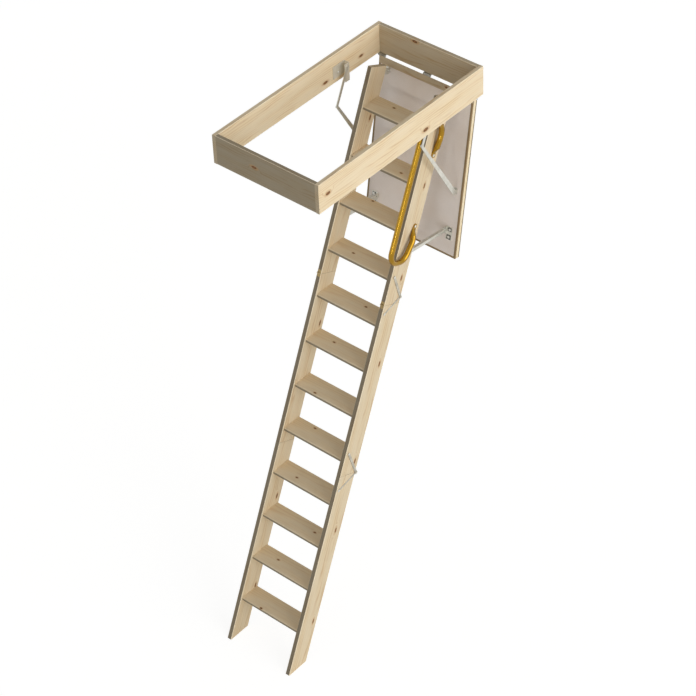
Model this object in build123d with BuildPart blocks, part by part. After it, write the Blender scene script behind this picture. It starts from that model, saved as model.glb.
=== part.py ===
from build123d import *
import os
from math import atan2, cos, degrees, hypot, radians, sin, sqrt

# Loft ladder: a wooden casing for the ceiling opening, a hatch panel hung below its far end on
# hinges and two-link arms, and a wooden ladder in three sections that stands in front of the hatch.
# Millimetres. X runs across the width, Y towards the hinge end, Z up. The origin is the centre of
# the outer face of the hinge-end board.

# Casing
casing_length = 1110.0
casing_width = 600.0
casing_height = 150.0
casing_board = 20.0
board_arris = 1.5

# Hatch panel, hanging open below the hinge end
hatch_side_gap = 9.0
hatch_length = 842.0
hatch_lean = 9.8
hatch_lead = 6.0
hatch_hang = 1.6
border_width = 9.0
border_thickness = 8.0
panel_recess = 1.0
core_thickness = 16.0
outer_panel_thickness = 6.0
top_rail_height = 35.0
top_rail_proud = 2.0

# Hatch hinges
hinge_barrel_radius = 4.4
hinge_inset = 6.0
hinge_length = 42.0
hinge_leaf = 2.0
hinge_leaf_depth = 24.0
side_hinge_inset = 8.5

# Ladder
room_height = 2824.0
ladder_angle = 66.35
ladder_side_gap = 78.1
ladder_setback = 62.0
ladder_top_rise = 6.0
stringer_depth = 114.0
stringer_thickness = 24.0
stringer_arris = 2.0

# Treads
tread_count = 12
first_rise = 213.5
top_tread_drop = 129.0
tread_depth = 106.0
tread_thickness = 20.0
tread_setback = 7.0
tread_nose = 8.0
housing_depth = 6.0
housing_clearance = 0.2

# Joints between the three sections
lower_treads = 4
middle_treads = 4
upper_joint_rise = 107.45
lower_joint_rise = 156.45
joint_gap = 1.0

# Small hinges let into the front edges at the upper joint
fold_offset = 3.0
fold_barrel_radius = 2.8
fold_leaf = 1.5
fold_leaf_length = 14.0
fold_leaf_width = 20.0
fold_knuckle = 6.0
fold_clearance = 0.3
fold_pin_radius = 1.3

# Side straps at both joints
strap_width = 13.0
strap_gauge = 4.0
inner_strap_width = 10.0
inner_strap_gauge = 1.6
strap_clearance = 0.5
eye_radius = 9.0
eye_recess = 16.0
strap_pin_radius = 3.5
pin_clearance = 0.2
pin_head_radius = 6.5
pin_head = 1.2
catch_rise = 30.0
catch_depth = 108.0
catch_strap_rise = 111.0
catch_strap_depth = 19.0
catch_strap_drop = 73.0
catch_strap_low_depth = 16.0
pin_offset = 4.0
hinge_strap_rise = 119.0
hinge_strap_depth = 18.0
hinge_strap_drop = 75.0
hinge_strap_low_depth = 14.0

# Two-link arms between the casing and the hatch
arm_pivot_setback = 284.0
arm_pivot_drop = 3.0
upper_link_length = 188.5
lower_link_length = 453.0
upper_link_width = 14.0
lower_link_knee_width = 14.0
lower_link_end_width = 24.0
link_gauge = 3.5
link_gap = 0.3
link_pin_radius = 3.5
arm_clearance = 1.6
hatch_pivot_down = 495.0
hatch_pivot_off = 22.0
bracket_gauge = 3.0
bracket_bolt_radius = 3.2
hatch_bracket_width = 22.0
hatch_bracket_height = 30.0
ear_radius = 9.0
casing_bracket_top = 18.0
casing_bracket_bottom = 47.0
casing_bracket_length = 78.0
casing_ear_width = 30.0
casing_ear_drop = 76.0
casing_web_inset = 16.0
casing_bolt_inset = 35.0

# Stand-offs between the ladder and the hatch
strut_rise = 265.6
strut_depth = 102.0
strut_up = 134.0
strut_pivot_off = 14.0
strut_height = 30.0
strut_flange = 16.0
strut_plate_width = 34.0
strut_plate_height = 68.0
strut_plate_lead = 18.0
strut_ear_height = 30.0
top_strut_drop = 34.0
top_strut_depth = 90.0
top_strut_down = 51.0
top_plate_height = 26.0
top_plate_lead = 13.0

# Handrail
rail_radius = 13.5
rail_offset = 24.0
rail_front = 86.0
rail_low_rise = 227.6
rail_low_back = 28.0
rail_low_knee = 93.0
rail_low_knee_back = 28.0
rail_low_tip = 65.0
rail_low_tip_back = 22.0
rail_top_drop = 110.6
rail_high_back = 62.0
rail_high_knee = 86.0
rail_high_knee_back = 2.0
rail_high_tip = 86.4
rail_high_tip_back = 13.0
rail_low_bend = 56.0
rail_high_bend = 66.0
rail_knee_bend = 40.0
rail_taper = 44.0
rail_standing = 15.0
paddle_gauge = 5.0
paddle_width = 24.0
paddle_bolt_radius = 4.0

# Angles and levels worked out from the sizes above
ladder_sin = sin(radians(ladder_angle))
ladder_cos = cos(radians(ladder_angle))
lean_sin = sin(radians(hatch_lean))
lean_cos = cos(radians(hatch_lean))
casing_bottom = -casing_height / 2
floor_z = casing_height / 2 - room_height
core_face = border_thickness + core_thickness
hatch_thickness = core_face + outer_panel_thickness
hatch_width = casing_width - 2 * (casing_board + hatch_side_gap)
ladder_width = casing_width - 2 * (casing_board + ladder_side_gap)
strut_down = hatch_length - strut_up

# Hatch hinge pin, and the top corner of the hatch's inner face, in the side view
hinge_pin_y = -casing_board - hinge_inset
hinge_pin_z = casing_bottom - hinge_barrel_radius
hatch_top_y = hinge_pin_y - hatch_lead
hatch_top_z = hinge_pin_z - hatch_hang

# The ladder's top end stands a set distance in front of the hatch, which gives the foot's place
ladder_top_z = casing_bottom + ladder_top_rise
ladder_top_y = hatch_top_y + (ladder_top_z - hatch_top_z) * lean_sin / lean_cos - ladder_setback
ladder_length = (ladder_top_z - floor_z + ladder_cos * stringer_depth) / ladder_sin
foot_y = ladder_top_y - ladder_cos * ladder_length - ladder_sin * stringer_depth
foot_cut = ladder_cos / ladder_sin * stringer_depth
top_tread_level = ladder_top_z - floor_z - top_tread_drop
tread_pitch = (top_tread_level - first_rise) / (tread_count - 1)
first_middle = 1 + lower_treads
first_upper = first_middle + middle_treads


def tread_level(number):
    """Height of a tread's top face above the floor."""
    return first_rise + (number - 1) * tread_pitch


# Places along the ladder, from the foot up its front face
upper_joint = tread_level(first_upper - 1) / ladder_sin + upper_joint_rise
lower_joint = tread_level(first_middle - 1) / ladder_sin + lower_joint_rise
pin_depth = stringer_depth + pin_offset

# Places across the width
stringer_outer = ladder_width / 2
stringer_inner = stringer_outer - stringer_thickness
rail_x = stringer_outer + rail_offset
lower_link_x = rail_x + rail_radius + arm_clearance
upper_link_x = lower_link_x + link_gauge + link_gap
casing_ear_x = upper_link_x + link_gauge + link_gap
hatch_ear_x = lower_link_x - link_gap - bracket_gauge
outer_strap_x = stringer_outer + inner_strap_gauge + strap_clearance


def ladder_plane(x):
    """Side view of the ladder: local x runs up its front face and local y forward from it."""
    return Plane(origin=(x, foot_y, floor_z), x_dir=(0, ladder_cos, ladder_sin), z_dir=(1, 0, 0))


def hatch_plane(x):
    """Side view of the hatch: local x runs down its inner face and local y into its thickness."""
    return Plane(origin=(x, hatch_top_y, hatch_top_z), x_dir=(0, -lean_sin, -lean_cos), z_dir=(1, 0, 0))


def hatch_face(depth):
    """Front view of the hatch at a depth behind its inner face, with local y running down it."""
    origin = (0, hatch_top_y + lean_cos * depth, hatch_top_z - lean_sin * depth)
    return Plane(origin=origin, x_dir=(1, 0, 0), z_dir=(0, lean_cos, -lean_sin))


def ladder_point(up, depth):
    """Side-view point at a distance up the ladder's front face and a depth behind it."""
    return (foot_y + ladder_cos * up + ladder_sin * depth, floor_z + ladder_sin * up - ladder_cos * depth)


def hatch_point(down, off):
    """Side-view point at a distance down the hatch and a distance in front of its inner face."""
    return (hatch_top_y - lean_sin * down - lean_cos * off, hatch_top_z - lean_cos * down + lean_sin * off)


def bar(start, end, width):
    """Round-ended flat bar between two points of the current sketch."""
    length = hypot(end[0] - start[0], end[1] - start[1])
    turn = degrees(atan2(end[1] - start[1], end[0] - start[0]))
    with Locations(((start[0] + end[0]) / 2, (start[1] + end[1]) / 2)):
        SlotCenterToCenter(length, width, rotation=turn)


# Casing boards
def casing_side(x):
    """Long board of the casing, with its left face at x."""
    with BuildPart() as board:
        with BuildSketch(Plane.YZ.offset(x)):
            with Locations((-casing_length / 2, 0)):
                Rectangle(casing_length, casing_height)
        extrude(amount=casing_board)
        chamfer(board.edges().filter_by(Axis.Y), board_arris)
    return board.part


def casing_end(y):
    """Short board of the casing, between the long ones, with its near face at y."""
    with BuildPart() as board:
        with BuildSketch(Plane.XZ.offset(-y)):
            Rectangle(casing_width - 2 * casing_board, casing_height)
        extrude(amount=-casing_board)
        chamfer(board.edges().filter_by(Axis.X), board_arris)
    return board.part


# Hatch panel: its top edge is bevelled back so that it swings clear below the casing
def hatch_layer(front, back):
    """Board across the whole hatch between two depths, its top edge on the common bevel."""
    with BuildPart() as board:
        with BuildSketch(hatch_plane(0)):
            with BuildLine():
                Polyline((front, front), (back, back), (hatch_length, back), (hatch_length, front), close=True)
            make_face()
        extrude(amount=hatch_width / 2, both=True)
    return board.part


with BuildPart() as hatch_top_rail:
    with BuildSketch(hatch_plane(0)):
        with BuildLine():
            Polyline(
                (0, -top_rail_proud),
                (top_rail_height, -top_rail_proud),
                (top_rail_height, border_thickness),
                (border_thickness, border_thickness),
                (0, 0),
                close=True,
            )
        make_face()
    extrude(amount=hatch_width / 2, both=True)

with BuildPart() as hatch_border:
    with BuildSketch(hatch_face(0)):
        with Locations((0, top_rail_height)):
            Rectangle(hatch_width, hatch_length - top_rail_height, align=(Align.CENTER, Align.MIN))
            Rectangle(
                hatch_width - 2 * border_width,
                hatch_length - top_rail_height - border_width,
                align=(Align.CENTER, Align.MIN),
                mode=Mode.SUBTRACT,
            )
    extrude(amount=border_thickness)

with BuildPart() as hatch_inner_panel:
    with BuildSketch(hatch_face(panel_recess)):
        with Locations((0, top_rail_height)):
            Rectangle(
                hatch_width - 2 * border_width,
                hatch_length - top_rail_height - border_width,
                align=(Align.CENTER, Align.MIN),
            )
    extrude(amount=border_thickness - panel_recess)


# Butt hinges: one leaf under the hinge-end board, the other on the hatch's bevelled top edge
side_hinge_x = hatch_width / 2 - side_hinge_inset
with BuildPart() as hatch_hinges:
    for hinge_x in (-side_hinge_x, 0, side_hinge_x):
        with BuildSketch(Plane.YZ.offset(hinge_x)):
            with Locations((hinge_pin_y, hinge_pin_z)):
                Circle(hinge_barrel_radius)
            with Locations((hinge_pin_y, casing_bottom)):
                Rectangle(hinge_leaf_depth, hinge_leaf, align=(Align.MIN, Align.MAX))
        extrude(amount=hinge_length / 2, both=True)
        with BuildSketch(hatch_plane(hinge_x)):
            with BuildLine():
                Polyline(
                    (0, 0),
                    (hinge_leaf_depth / sqrt(2), hinge_leaf_depth / sqrt(2)),
                    ((hinge_leaf_depth - hinge_leaf) / sqrt(2), (hinge_leaf_depth + hinge_leaf) / sqrt(2)),
                    (-hinge_leaf / sqrt(2), hinge_leaf / sqrt(2)),
                    close=True,
                )
            make_face()
        extrude(amount=hinge_length / 2, both=True)


# Two-link arms: pivots in the side view, the knee where the two link lengths meet
casing_pivot = (-arm_pivot_setback, -arm_pivot_drop)
hatch_pivot = hatch_point(hatch_pivot_down, hatch_pivot_off)
pivot_span = hypot(hatch_pivot[0] - casing_pivot[0], hatch_pivot[1] - casing_pivot[1])
span_y = (hatch_pivot[0] - casing_pivot[0]) / pivot_span
span_z = (hatch_pivot[1] - casing_pivot[1]) / pivot_span
knee_along = (upper_link_length**2 - lower_link_length**2 + pivot_span**2) / (2 * pivot_span)
knee_aside = sqrt(upper_link_length**2 - knee_along**2)
knee = (
    casing_pivot[0] + span_y * knee_along + span_z * knee_aside,
    casing_pivot[1] + span_z * knee_along - span_y * knee_aside,
)

with BuildPart() as arm_upper_links:
    with BuildSketch(Plane.YZ.offset(upper_link_x)):
        bar(casing_pivot, knee, upper_link_width)
        with Locations(knee):
            Circle(link_pin_radius + pin_clearance, mode=Mode.SUBTRACT)
    extrude(amount=link_gauge)
    with BuildSketch(Plane.YZ.offset(upper_link_x)):
        with Locations(casing_pivot):
            Circle(link_pin_radius)
    extrude(amount=casing_ear_x + bracket_gauge + link_gap - upper_link_x)
    with BuildSketch(Plane.YZ.offset(casing_ear_x + bracket_gauge + link_gap)):
        with Locations(casing_pivot):
            Circle(pin_head_radius)
    extrude(amount=pin_head)
    mirror(about=Plane.YZ)

with BuildPart() as arm_lower_links:
    with BuildSketch(Plane.YZ.offset(lower_link_x)):
        with Locations(knee):
            Circle(lower_link_knee_width / 2)
        with Locations(hatch_pivot):
            Circle(lower_link_end_width / 2)
        make_hull()
    extrude(amount=link_gauge)
    with BuildSketch(Plane.YZ.offset(lower_link_x)):
        with Locations(knee):
            Circle(link_pin_radius)
    extrude(amount=casing_ear_x - lower_link_x)
    with BuildSketch(Plane.YZ.offset(casing_ear_x)):
        with Locations(knee):
            Circle(pin_head_radius)
    extrude(amount=pin_head)
    with BuildSketch(Plane.YZ.offset(lower_link_x)):
        with Locations(hatch_pivot):
            Circle(link_pin_radius)
    extrude(amount=hatch_ear_x - link_gap - lower_link_x)
    with BuildSketch(Plane.YZ.offset(hatch_ear_x - link_gap)):
        with Locations(hatch_pivot):
            Circle(pin_head_radius)
    extrude(amount=-pin_head)
    mirror(about=Plane.YZ)

# Folded brackets that hold the upper links clear of the casing's side boards
casing_inner = casing_width / 2 - casing_board
bracket_front = casing_pivot[0] - casing_bracket_length + casing_web_inset
bracket_back = casing_pivot[0] + casing_web_inset
with BuildPart() as arm_casing_brackets:
    with BuildSketch(Plane.YZ.offset(casing_inner - bracket_gauge)):
        with Locations((bracket_front, casing_pivot[1] + casing_bracket_top)):
            Rectangle(
                casing_bracket_length,
                casing_bracket_top + casing_bracket_bottom,
                align=(Align.MIN, Align.MAX),
            )
        with Locations((bracket_front + casing_bolt_inset, casing_pivot[1] - casing_bracket_bottom / 2)):
            Circle(bracket_bolt_radius, mode=Mode.SUBTRACT)
    extrude(amount=bracket_gauge)
    with BuildSketch(Plane.YZ.offset(casing_ear_x)):
        with Locations((bracket_back, casing_pivot[1] + casing_bracket_top)):
            Rectangle(bracket_gauge, casing_bracket_top + casing_bracket_bottom, align=(Align.MAX, Align.MAX))
    extrude(amount=casing_inner - casing_ear_x)
    with BuildSketch(Plane.YZ.offset(casing_ear_x)):
        with Locations((bracket_back, casing_pivot[1] + casing_bracket_top)):
            Rectangle(
                casing_ear_width,
                casing_bracket_top + casing_ear_drop,
                align=(Align.MAX, Align.MAX),
            )
        with Locations(casing_pivot):
            Circle(link_pin_radius + pin_clearance, mode=Mode.SUBTRACT)
    extrude(amount=bracket_gauge)
    mirror(about=Plane.YZ)

# Angle brackets on the hatch for the lower links
with BuildPart() as arm_hatch_brackets:
    with BuildSketch(hatch_face(panel_recess - bracket_gauge)):
        with Locations((hatch_ear_x + bracket_gauge, hatch_pivot_down)):
            Rectangle(hatch_bracket_width, hatch_bracket_height, align=(Align.MAX, Align.CENTER))
    extrude(amount=bracket_gauge)
    with BuildSketch(hatch_plane(hatch_ear_x)):
        with Locations((hatch_pivot_down, panel_recess)):
            Rectangle(2 * ear_radius, hatch_pivot_off + panel_recess, align=(Align.CENTER, Align.MAX))
        with Locations((hatch_pivot_down, -hatch_pivot_off)):
            Circle(ear_radius)
            Circle(link_pin_radius + pin_clearance, mode=Mode.SUBTRACT)
    extrude(amount=bracket_gauge)
    mirror(about=Plane.YZ)


# Stand-offs: angle-section struts from the stringers' outer faces to plates on the hatch
flange_stop = hypot(ear_radius, strut_ear_height / 2) + link_gap


def standoff(ladder_end, down):
    """Right-hand strut from a side-view point of the ladder to a distance down the hatch."""
    hatch_end = hatch_point(down, strut_pivot_off)
    run_y = hatch_end[0] - ladder_end[0]
    run_z = hatch_end[1] - ladder_end[1]
    run = hypot(run_y, run_z)
    side = Plane(
        origin=(stringer_outer, ladder_end[0], ladder_end[1]),
        x_dir=(0, run_y, run_z),
        z_dir=(1, 0, 0),
    )
    with BuildPart() as strut:
        with BuildSketch(side):
            with Locations((run / 2, 0)):
                SlotCenterToCenter(run, strut_height)
            with Locations((0, 0), (run, 0)):
                Circle(link_pin_radius + pin_clearance, mode=Mode.SUBTRACT)
        extrude(amount=bracket_gauge)
        with BuildSketch(side):
            with Locations((0, strut_height / 2)):
                Rectangle(run - flange_stop, bracket_gauge, align=(Align.MIN, Align.MAX))
        extrude(amount=strut_flange)
    return strut.part


def standoff_plate(down, lead, height, ear_height):
    """Right-hand angle bracket on the hatch that a strut is bolted to."""
    ear_x = stringer_outer + bracket_gauge + link_gap
    with BuildPart() as bracket:
        with BuildSketch(hatch_face(panel_recess - bracket_gauge)):
            with Locations((ear_x, down - lead)):
                Rectangle(strut_plate_width, height, align=(Align.MIN, Align.MIN))
        extrude(amount=bracket_gauge)
        with BuildSketch(hatch_plane(ear_x)):
            with Locations((down, panel_recess)):
                Rectangle(
                    ear_height,
                    strut_pivot_off + panel_recess + ear_radius,
                    align=(Align.CENTER, Align.MAX),
                )
            with Locations((down, -strut_pivot_off)):
                Circle(link_pin_radius + pin_clearance, mode=Mode.SUBTRACT)
        extrude(amount=bracket_gauge)
    return bracket.part


with BuildPart() as ladder_struts:
    add(standoff(ladder_point(upper_joint + strut_rise, strut_depth), strut_down))
    mirror(about=Plane.YZ)

with BuildPart() as strut_hatch_brackets:
    add(standoff_plate(strut_down, strut_plate_lead, strut_plate_height, strut_ear_height))
    mirror(about=Plane.YZ)

with BuildPart() as ladder_top_struts:
    add(standoff(ladder_point(ladder_length - top_strut_drop, top_strut_depth), top_strut_down))
    mirror(about=Plane.YZ)

with BuildPart() as top_hatch_brackets:
    add(standoff_plate(top_strut_down, top_plate_lead, top_plate_height, top_plate_height))
    mirror(about=Plane.YZ)


# Ladder sections
def tread_outline(number, clearance):
    """Side outline of a tread, its front edge rounded over."""
    level = tread_level(number)
    front = foot_y + level * ladder_cos / ladder_sin + tread_setback / ladder_sin
    with BuildSketch() as outline:
        with Locations((front - clearance, floor_z + level + clearance)):
            Rectangle(
                tread_depth + 2 * clearance,
                tread_thickness + 2 * clearance,
                align=(Align.MIN, Align.MAX),
            )
        fillet(outline.vertices().sort_by(Axis.X)[:2], tread_nose + clearance)
    return outline.sketch


def tread(number):
    """One tread, long enough to sit in the grooves of both stringers."""
    with BuildPart() as board:
        with BuildSketch(Plane.YZ):
            add(tread_outline(number, 0))
        extrude(amount=stringer_inner + housing_depth - housing_clearance, both=True)
    return board.part


# Leaves of the small hinges across a stringer's front edge, and how far they reach from the joint
fold_right = stringer_outer - (stringer_thickness - fold_leaf_width) / 2
fold_left = fold_right - fold_leaf_width
fold_leaf_start = fold_barrel_radius + fold_clearance
fold_reach = fold_leaf_start + fold_leaf_length


def stringer(low, low_cut, high, treads):
    """Right-hand side board of a section, grooved for the treads and let in for the small hinges."""
    with BuildPart() as board:
        with BuildSketch(ladder_plane(stringer_inner)):
            with BuildLine():
                Polyline(
                    (low, 0),
                    (high, 0),
                    (high, -stringer_depth),
                    (low + low_cut, -stringer_depth),
                    close=True,
                )
            make_face()
        extrude(amount=stringer_thickness)
        chamfer(board.edges().filter_by(Axis((0, 0, 0), (0, ladder_cos, ladder_sin))), stringer_arris)
        for number in treads:
            with BuildSketch(Plane.YZ.offset(stringer_inner)):
                add(tread_outline(number, housing_clearance))
            extrude(amount=housing_depth, mode=Mode.SUBTRACT)
        with BuildSketch(ladder_plane(fold_left)):
            with Locations((upper_joint, 0)):
                Rectangle(2 * fold_reach, 2 * fold_leaf)
        extrude(amount=fold_leaf_width, mode=Mode.SUBTRACT)
    return board.part


# Folding hinges on the front edges of the upper joint, with the pivot in front of the face
def fold_leaf_half(x, width, direction):
    """Part of a hinge leaf between x and x plus width, above or below the joint, with its barrel."""
    edge = upper_joint + direction * joint_gap / 2
    toward = Align.MIN if direction > 0 else Align.MAX
    with BuildSketch(ladder_plane(x)) as profile:
        with Locations((edge, -fold_leaf)):
            Rectangle(fold_barrel_radius + fold_leaf, fold_offset + fold_leaf, align=(toward, Align.MIN))
        with Locations((upper_joint, fold_offset)):
            Circle(fold_barrel_radius)
    extrude(profile.sketch, amount=width)


def fold_leaf_plate(direction):
    """Flat plate of a hinge leaf, flush in a stringer's front edge and clear of the other's barrel."""
    edge = upper_joint + direction * fold_leaf_start
    toward = Align.MIN if direction > 0 else Align.MAX
    with BuildSketch(ladder_plane(fold_left)) as profile:
        with Locations((edge, 0)):
            Rectangle(fold_leaf_length, fold_leaf, align=(toward, Align.MAX))
    extrude(profile.sketch, amount=fold_leaf_width)


with BuildPart() as fold_hinges_upper:
    fold_leaf_half(fold_left, fold_knuckle, 1)
    fold_leaf_half(fold_right - fold_knuckle, fold_knuckle, 1)
    fold_leaf_plate(1)
    with BuildSketch(ladder_plane(fold_left)):
        with Locations((upper_joint, fold_offset)):
            Circle(fold_pin_radius)
    extrude(amount=fold_leaf_width)
    mirror(about=Plane.YZ)

with BuildPart() as fold_hinges_middle:
    fold_leaf_half(
        fold_left + fold_knuckle + fold_clearance,
        fold_leaf_width - 2 * (fold_knuckle + fold_clearance),
        -1,
    )
    fold_leaf_plate(-1)
    with BuildSketch(ladder_plane(fold_left)):
        with Locations((upper_joint, fold_offset)):
            Circle(fold_pin_radius + pin_clearance)
    extrude(amount=fold_leaf_width, mode=Mode.SUBTRACT)
    mirror(about=Plane.YZ)

# Catch straps at the upper joint: a stud on the middle section drops into a fork on the upper one
catch = (upper_joint + catch_rise, -catch_depth)
catch_radius = hypot(catch_rise, catch_depth + fold_offset)
catch_angle = degrees(atan2(-catch_depth - fold_offset, catch_rise))
fork_sweep = degrees((eye_recess + strap_pin_radius) / catch_radius)
fork_path = CenterArc((upper_joint, fold_offset), catch_radius, catch_angle, -fork_sweep)
with BuildPart() as catch_straps_upper:
    with BuildSketch(ladder_plane(stringer_outer)):
        bar((catch[0] + catch_strap_rise, -catch_strap_depth), catch, strap_width)
    extrude(amount=strap_gauge)
    with BuildSketch(ladder_plane(stringer_outer)):
        with Locations(catch):
            Circle(eye_recess)
    extrude(amount=outer_strap_x - stringer_outer, mode=Mode.SUBTRACT)
    with BuildSketch(ladder_plane(stringer_outer)):
        SlotArc(fork_path, 2 * (strap_pin_radius + pin_clearance))
    extrude(amount=strap_gauge, mode=Mode.SUBTRACT)
    mirror(about=Plane.YZ)


def inner_strap(pivot, low, joint):
    """Right-hand thin strap below a joint, with its pin standing out through the outer strap."""
    with BuildPart() as strap:
        with BuildSketch(ladder_plane(stringer_outer)):
            bar(low, pivot, inner_strap_width)
            with Locations(pivot):
                Circle(eye_radius)
        extrude(amount=inner_strap_gauge)
        with BuildSketch(ladder_plane(stringer_outer)):
            with Locations((joint, 0)):
                Rectangle(2 * stringer_depth, 4 * stringer_depth, align=(Align.MIN, Align.CENTER))
            with Locations(pivot):
                Circle(eye_recess)
        extrude(amount=strap_clearance, mode=Mode.SUBTRACT)
        with BuildSketch(ladder_plane(stringer_outer + strap_clearance)):
            with Locations(pivot):
                Circle(strap_pin_radius)
        extrude(amount=strap_gauge + link_gap - strap_clearance)
        with BuildSketch(ladder_plane(stringer_outer + strap_gauge + link_gap)):
            with Locations(pivot):
                Circle(pin_head_radius)
        extrude(amount=pin_head)
    return strap.part


with BuildPart() as catch_straps_middle:
    add(inner_strap(catch, (catch[0] - catch_strap_drop, -catch_strap_low_depth), upper_joint))
    mirror(about=Plane.YZ)

# Hinge straps at the lower joint, pivoting just behind the stringers' back edges
pivot_pin = (lower_joint, -pin_depth)
with BuildPart() as hinge_straps_middle:
    with BuildSketch(ladder_plane(stringer_outer)):
        bar((lower_joint + hinge_strap_rise, -hinge_strap_depth), pivot_pin, strap_width)
        with Locations(pivot_pin):
            Circle(eye_radius)
            Circle(strap_pin_radius + pin_clearance, mode=Mode.SUBTRACT)
    extrude(amount=strap_gauge)
    with BuildSketch(ladder_plane(stringer_outer)):
        with Locations(pivot_pin):
            Circle(eye_recess)
    extrude(amount=outer_strap_x - stringer_outer, mode=Mode.SUBTRACT)
    mirror(about=Plane.YZ)

with BuildPart() as hinge_straps_lower:
    add(inner_strap(pivot_pin, (lower_joint - hinge_strap_drop, -hinge_strap_low_depth), lower_joint))
    mirror(about=Plane.YZ)


# Handrail: a bent steel tube, flattened at both ends and bolted to the right stringer
def rail_place(up, back, x):
    """Point in space at a distance up the ladder, behind its front face and across the width."""
    y, z = ladder_point(up, back)
    return (x, y, z)


def short_of(end, corner, distance):
    """Side-view place at a distance before a fixing, on the straight run from a corner to it."""
    run = hypot(end[0] - corner[0], end[1] - corner[1])
    share = distance / run
    return (end[0] - (end[0] - corner[0]) * share, end[1] - (end[1] - corner[1]) * share)


rail_low = upper_joint + rail_low_rise
rail_high = ladder_length - rail_top_drop
low_corner = (rail_low, rail_low_back)
low_knee = (rail_low + rail_low_knee, rail_low_back + rail_low_knee_back)
low_fixing = (low_knee[0] + rail_low_tip, low_knee[1] + rail_low_tip_back)
high_corner = (rail_high, rail_high_back)
high_knee = (rail_high - rail_high_knee, rail_high_back + rail_high_knee_back)
high_fixing = (high_knee[0] - rail_high_tip, high_knee[1] + rail_high_tip_back)
standing_x = stringer_outer + rail_standing
rail_route = (
    rail_place(*short_of(low_fixing, low_knee, rail_taper), standing_x),
    rail_place(*low_knee, rail_x),
    rail_place(*low_corner, rail_x),
    rail_place(rail_low, -rail_front, rail_x),
    rail_place(rail_high, -rail_front, rail_x),
    rail_place(*high_corner, rail_x),
    rail_place(*high_knee, rail_x),
    rail_place(*short_of(high_fixing, high_knee, rail_taper), standing_x),
)
rail_bends = (rail_knee_bend, rail_low_bend, rail_low_bend, rail_high_bend, rail_high_bend, rail_knee_bend)
across = (0, -ladder_sin, ladder_cos)

with BuildPart() as handrail:
    with BuildLine():
        rail_line = FilletPolyline(*rail_route, radius=rail_bends)
    with BuildSketch(Plane(origin=rail_line @ 0, x_dir=across, z_dir=rail_line % 0)):
        Circle(rail_radius)
    sweep()
    for fixing, bend, end, outward in (
        (low_fixing, low_knee, rail_line @ 0, (rail_line % 0) * -1),
        (high_fixing, high_knee, rail_line @ 1, rail_line % 1),
    ):
        neck = short_of(fixing, bend, paddle_width / 2)
        paddle = rail_place(*neck, stringer_outer + paddle_gauge / 2)
        fixing_place = rail_place(*fixing, stringer_outer + paddle_gauge / 2)
        heading = Vector(fixing_place) - Vector(paddle)
        with BuildSketch(Plane(origin=end, x_dir=across, z_dir=outward)):
            Circle(rail_radius)
        with BuildSketch(Plane(origin=paddle, x_dir=across, z_dir=heading)):
            Ellipse(paddle_width / 2, paddle_gauge / 2)
        loft()
        with BuildSketch(ladder_plane(stringer_outer)):
            bar((neck[0], -neck[1]), (fixing[0], -fixing[1]), paddle_width)
            with Locations((fixing[0], -fixing[1])):
                Circle(paddle_bolt_radius, mode=Mode.SUBTRACT)
        extrude(amount=paddle_gauge)

# Every piece under its own name
upper_stringer = stringer(
    upper_joint + joint_gap / 2,
    0,
    ladder_length,
    range(first_upper, tread_count + 1),
)
middle_stringer = stringer(
    lower_joint + joint_gap / 2,
    0,
    upper_joint - joint_gap / 2,
    range(first_middle, first_upper),
)
lower_stringer = stringer(0, foot_cut, lower_joint - joint_gap / 2, range(1, first_middle))
pieces = {
    "casing_side_left": casing_side(-casing_width / 2),
    "casing_side_right": casing_side(casing_width / 2 - casing_board),
    "casing_end_near": casing_end(-casing_length),
    "casing_end_hinge": casing_end(-casing_board),
    "hatch_top_rail": hatch_top_rail.part,
    "hatch_border": hatch_border.part,
    "hatch_inner_panel": hatch_inner_panel.part,
    "hatch_core": hatch_layer(border_thickness, core_face),
    "hatch_outer_panel": hatch_layer(core_face, hatch_thickness),
    "hatch_hinges": hatch_hinges.part,
    "arm_upper_links": arm_upper_links.part,
    "arm_lower_links": arm_lower_links.part,
    "arm_casing_brackets": arm_casing_brackets.part,
    "arm_hatch_brackets": arm_hatch_brackets.part,
    "ladder_struts": ladder_struts.part,
    "strut_hatch_brackets": strut_hatch_brackets.part,
    "ladder_top_struts": ladder_top_struts.part,
    "top_hatch_brackets": top_hatch_brackets.part,
    "stringer_upper_right": upper_stringer,
    "stringer_upper_left": mirror(upper_stringer, about=Plane.YZ),
    "stringer_middle_right": middle_stringer,
    "stringer_middle_left": mirror(middle_stringer, about=Plane.YZ),
    "stringer_lower_right": lower_stringer,
    "stringer_lower_left": mirror(lower_stringer, about=Plane.YZ),
    "fold_hinges_upper": fold_hinges_upper.part,
    "fold_hinges_middle": fold_hinges_middle.part,
    "catch_straps_upper": catch_straps_upper.part,
    "catch_straps_middle": catch_straps_middle.part,
    "hinge_straps_middle": hinge_straps_middle.part,
    "hinge_straps_lower": hinge_straps_lower.part,
    "handrail": handrail.part,
}
for number in range(1, tread_count + 1):
    pieces[f"tread_{number:02d}"] = tread(number)

os.makedirs("parts", exist_ok=True)
for name, piece in pieces.items():
    piece.label = name
    export_step(piece, f"parts/{name}.step")
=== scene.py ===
import math
import bpy
from mathutils import Matrix, Vector


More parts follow.
